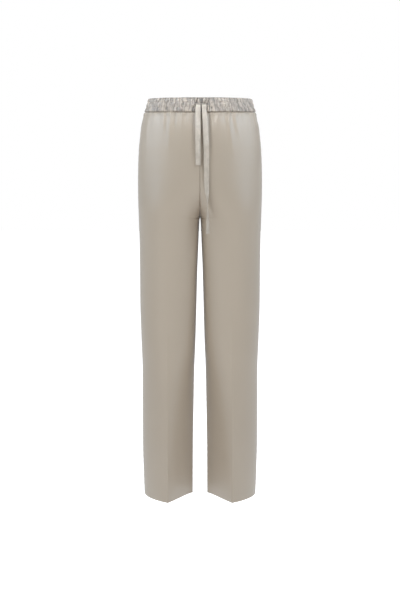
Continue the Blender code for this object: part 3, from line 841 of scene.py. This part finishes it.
# The tie: a flat strip of the same satin, folded in and stitched along its edges. It runs inside the
# waistband, and its two free ends come out of two buttonholes at the front and hang.
# Its satin is lighter than the leg panels': a painted highlight for the light the strip catches. Its strong
# mottling, random dark patches, stands in as painted shade for the shade of its small folds.
TIE_SATIN = make_satin("tie_satin", (0.61, 0.53, 0.44), (0.37, 0.32, 0.26), 0.34, cloud=62.0, mottle=3.2)

# Each end's route down its middle, in millimetres. wide is its width there, and turn the angle in
# degrees that it faces away from the front.
Tie = namedtuple("Tie", "x y z wide turn")
TIE_RIGHT = [
    Tie(-4.8, -92.3, 1.0, 12.0, 0),
    Tie(-4.8, -98.0, 0.9, 12.0, 0),
    Tie(-4.8, -101.2, -1.6, 12.2, 0),
    Tie(-4.9, -102.6, -8.0, 12.5, 3),
    Tie(-5.0, -104.4, -22.0, 12.7, 6),
    Tie(-5.0, -106.6, -40.0, 12.8, -4),
    Tie(-5.1, -110.4, -58.0, 12.8, 2),
    Tie(-5.1, -112.0, -80.0, 12.8, 7),
    Tie(-5.2, -114.4, -100.0, 12.6, -6),
    Tie(-5.0, -117.2, -118.0, 12.5, 4),
    Tie(-4.9, -117.6, -126.0, 12.4, 10),
    Tie(-4.7, -113.6, -136.0, 12.3, 4),
    Tie(-4.6, -114.2, -142.0, 12.3, -3),
    Tie(-4.4, -116.0, -152.0, 12.2, -3),
]
TIE_LEFT = [
    Tie(9.7, -92.3, 1.0, 10.5, 0),
    Tie(9.7, -98.0, 0.9, 10.5, 0),
    Tie(9.8, -101.6, -1.8, 10.6, -3),
    Tie(10.0, -103.0, -8.0, 11.0, -9),
    Tie(11.0, -105.0, -22.0, 11.6, -14),
    Tie(12.8, -108.6, -45.0, 12.2, -6),
    Tie(13.8, -111.6, -66.0, 12.6, -12),
    Tie(15.0, -114.6, -88.0, 12.8, -2),
    Tie(15.6, -117.4, -102.0, 12.8, 6),
    Tie(15.9, -115.0, -113.0, 12.8, 14),
    Tie(16.2, -113.6, -121.0, 12.8, 4),
    Tie(16.4, -115.2, -134.0, 12.8, -6),
    Tie(16.6, -116.2, -160.0, 12.8, -2),
    Tie(16.8, -116.8, -186.0, 12.6, 6),
    Tie(17.2, -116.6, -212.0, 12.4, 24),
    Tie(18.2, -116.4, -238.0, 12.2, 66),
    Tie(19.2, -116.4, -262.0, 12.2, 98),
    Tie(19.8, -116.6, -288.0, 12.2, 124),
    Tie(19.8, -117.4, -308.0, 12.2, 130),
    Tie(19.4, -118.6, -324.0, 12.2, 134),
]
TIE_THICK = 1.1
TIE_WIDTH = 12.5
TIE_STEPS = 7
PATH_STEPS = 2
TIE_AROUND = 22
# Its outline: how square its edges are, and how deep, how far out and how wide its stitching sinks.
SQUARE_ACROSS, SQUARE_THROUGH = 0.55, 0.45
SINK_DEPTH, SINK_PLACE, SINK_WIDTH = 0.35, 0.78, 0.07


def curve_through(route, steps):
    """A smooth curve through a tie's stations, with a few points between each two of them."""
    stations = [Vector(station) for station in route]
    stations = [stations[0]] + stations + [stations[-1]]
    curve = []
    for a, b, c, d in zip(stations, stations[1:], stations[2:], stations[3:]):
        for step in range(steps):
            s = step / steps
            square, cube = 2 * a - 5 * b + 4 * c - d, 3 * b - a - 3 * c + d
            curve.append((2 * b + (c - a) * s + square * s**2 + cube * s**3) / 2)
    return curve + [stations[-1]]


def tie_outline(wide, thick):
    """The strip's outline across: flat, with rounded edges and a line of stitching near each."""
    points = []
    for k in range(TIE_AROUND):
        angle = 2 * math.pi * k / TIE_AROUND
        across = math.copysign(abs(math.cos(angle)) ** SQUARE_ACROSS, math.cos(angle))
        through = math.copysign(abs(math.sin(angle)) ** SQUARE_THROUGH, math.sin(angle))
        sunk = 1 - SINK_DEPTH * math.exp(-(((abs(across) - SINK_PLACE) / SINK_WIDTH) ** 2))
        points.append((across * wide / 2, through * thick / 2 * sunk))
    return points


def make_tie(name, route):
    """One free end of the tie, as a strip along its route."""
    stations = curve_through(route, TIE_STEPS)
    steps = [(b.to_3d() - a.to_3d()).length for a, b in zip(stations, stations[1:])]
    down = np.concatenate([[0], np.cumsum(steps)])
    rings = []
    for k, station in enumerate(stations):
        before, after = stations[max(k - 1, 0)], stations[min(k + 1, len(stations) - 1)]
        direction = (after.to_3d() - before.to_3d()).normalized()
        wide, turn = station[3], station[4]
        across = Matrix.Rotation(math.radians(turn), 3, direction) @ Vector((1, 0, 0))
        across = (across - direction * across.dot(direction)).normalized()
        through = across.cross(direction)
        middle = station.to_3d()
        ring = [(middle + across * i + through * j) * MM for i, j in tie_outline(wide, TIE_THICK)]
        rings.append(ring + ring[:1])
    round_it = 2 * TIE_WIDTH * MM * np.linspace(0, 1, TIE_AROUND + 1)
    mesh = lay_cloth(rings, [round_it] * len(rings), -down * MM)
    bmesh.ops.remove_doubles(mesh, verts=mesh.verts, dist=MERGE)
    ends = [edge for edge in mesh.edges if edge.is_boundary]
    bmesh.ops.holes_fill(mesh, edges=ends, sides=0)
    bmesh.ops.recalc_face_normals(mesh, faces=mesh.faces)
    return finish_piece(f"{name}_strip", mesh, [TIE_SATIN])


for name, route in (("tie_end_right", TIE_RIGHT), ("tie_end_left", TIE_LEFT)):
    strip = make_tie(name, route)
    path = [station.to_3d() * MM for station in curve_through(route, PATH_STEPS)]
    length = sum((b - a).length for a, b in zip(path, path[1:]))
    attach(strip, "root")
    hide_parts(name)


# The floor is a plain white sheet of paper, lit from below so that it shows pure white, and no part of
# the trousers.
FLOOR_HEIGHT = -1.4
FLOOR_SIZE = 30.0
PAPER_SEEN = 1.0
PAPER_LIGHT = 0.25
paper = bpy.data.materials.new("white_paper")
paper.use_nodes = True
paper_shader = paper.node_tree.nodes["Principled BSDF"]
paper_shader.inputs["Base Color"].default_value = (0.92, 0.92, 0.92, 1)
paper_shader.inputs["Roughness"].default_value = 0.9
paper_shader.inputs["Emission Color"].default_value = (1, 1, 1, 1)
seen = Wire.node(paper.node_tree, "ShaderNodeLightPath")
glow = seen * (PAPER_SEEN - PAPER_LIGHT) + PAPER_LIGHT
Wire.connect(paper.node_tree, paper_shader.inputs["Emission Strength"], glow)
paper_mesh = bmesh.new()
bmesh.ops.create_grid(
    paper_mesh, x_segments=4, y_segments=4, size=FLOOR_SIZE / 2,
    matrix=Matrix.Translation((0, 0, FLOOR_HEIGHT)),
)
floor = finish_piece("floor", paper_mesh, [paper])
